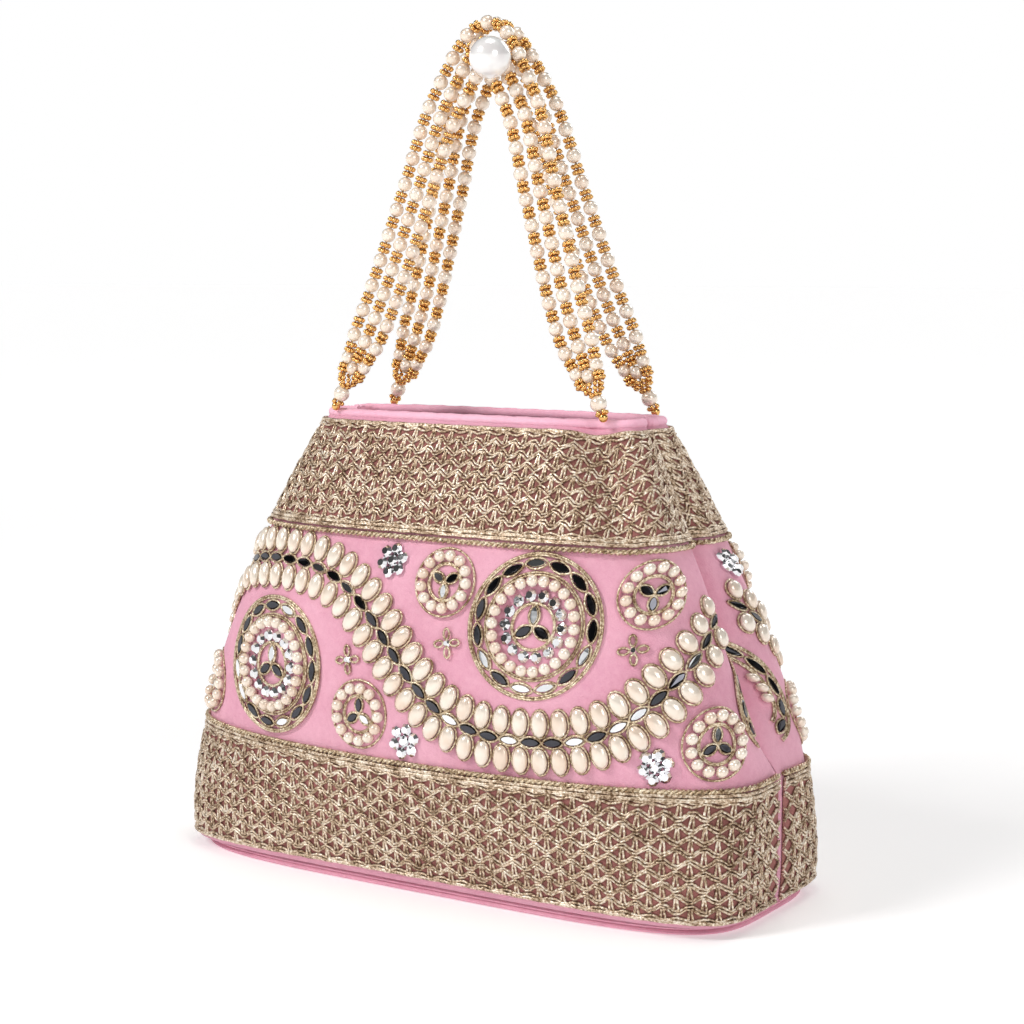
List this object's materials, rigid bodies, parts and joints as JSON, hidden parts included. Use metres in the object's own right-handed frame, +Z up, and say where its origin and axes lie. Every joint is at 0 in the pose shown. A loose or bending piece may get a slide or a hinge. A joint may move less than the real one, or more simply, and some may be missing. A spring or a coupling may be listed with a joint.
{
  "type": "handbag",
  "caption": "Embroidered velvet potli handbag with gold lace bands, pearl and mirror work, and two beaded pearl handles.",
  "frame": {"origin": "on the ground plane under the middle of the bag", "axes": "+X towards the right side seam, +Y towards the back, +Z up"},
  "size_m": [0.1846, 0.0904, 0.2396],
  "materials": {
    "velvet": "matt pile",
    "binding_velvet": "matt pile",
    "zari_lace": "metallic thread",
    "zari_cord": "twisted metallic thread",
    "pearl": "pearl coat",
    "bead_gold": "gold coat",
    "mirror_foil": "polished",
    "lining_satin": "satin",
    "board": "plain",
    "snap_steel": "satin"
  },
  "bodies": {
    "bag": {"back_lower_cord": "zari_cord", "back_lower_lace": "zari_lace", "back_lower_pearl_row": "pearl", "back_medallion_1": "pearl", "back_medallion_2": "pearl", "back_mirror_row": "mirror_foil", "back_panel": "velvet", "back_rim_binding": "binding_velvet", "back_small_medallion_1": "pearl", "back_small_medallion_2": "pearl", "back_small_medallion_3": "pearl", "back_small_medallion_4": "pearl", "back_small_medallion_5": "pearl", "back_snap": "snap_steel", "back_stone_flower_1": "mirror_foil", "back_stone_flower_2": "mirror_foil", "back_upper_cord": "zari_cord", "back_upper_lace": "zari_lace", "back_upper_pearl_row": "pearl", "base_panel": "velvet", "base_stiffener": "board", "front_lower_cord": "zari_cord", "front_lower_lace": "zari_lace", "front_lower_pearl_row": "pearl", "front_medallion_1": "pearl", "front_medallion_2": "pearl", "front_mirror_row": "mirror_foil", "front_panel": "velvet", "front_rim_binding": "binding_velvet", "front_small_medallion_1": "pearl", "front_small_medallion_2": "pearl", "front_small_medallion_3": "pearl", "front_small_medallion_4": "pearl", "front_small_medallion_5": "pearl", "front_snap": "snap_steel", "front_stone_flower_1": "mirror_foil", "front_stone_flower_2": "mirror_foil", "front_stone_flower_3": "mirror_foil", "front_upper_cord": "zari_cord", "front_upper_lace": "zari_lace", "front_upper_pearl_row": "pearl", "lining": "lining_satin"},
    "front_handle": {"crown_pearl": "pearl", "front_handle_left_end": "bead_gold", "front_handle_right_end": "bead_gold", "front_handle_strand_1": "pearl", "front_handle_strand_2": "pearl", "front_handle_strand_3": "pearl"},
    "back_handle": {"back_handle_left_end": "bead_gold", "back_handle_right_end": "bead_gold", "back_handle_strand_1": "pearl", "back_handle_strand_2": "pearl", "back_handle_strand_3": "pearl"}
  },
  "joints": [
    {"name": "front_handle_swing", "type": "hinge", "parent": "bag", "child": "front_handle", "pos_m": [0, -0.01418, 0.131], "axis": [1, 0, 0], "range_deg": [0, 120]},
    {"name": "back_handle_swing", "type": "hinge", "parent": "bag", "child": "back_handle", "pos_m": [0, 0.01418, 0.131], "axis": [-1, 0, 0], "range_deg": [0, 120]}
  ]
}
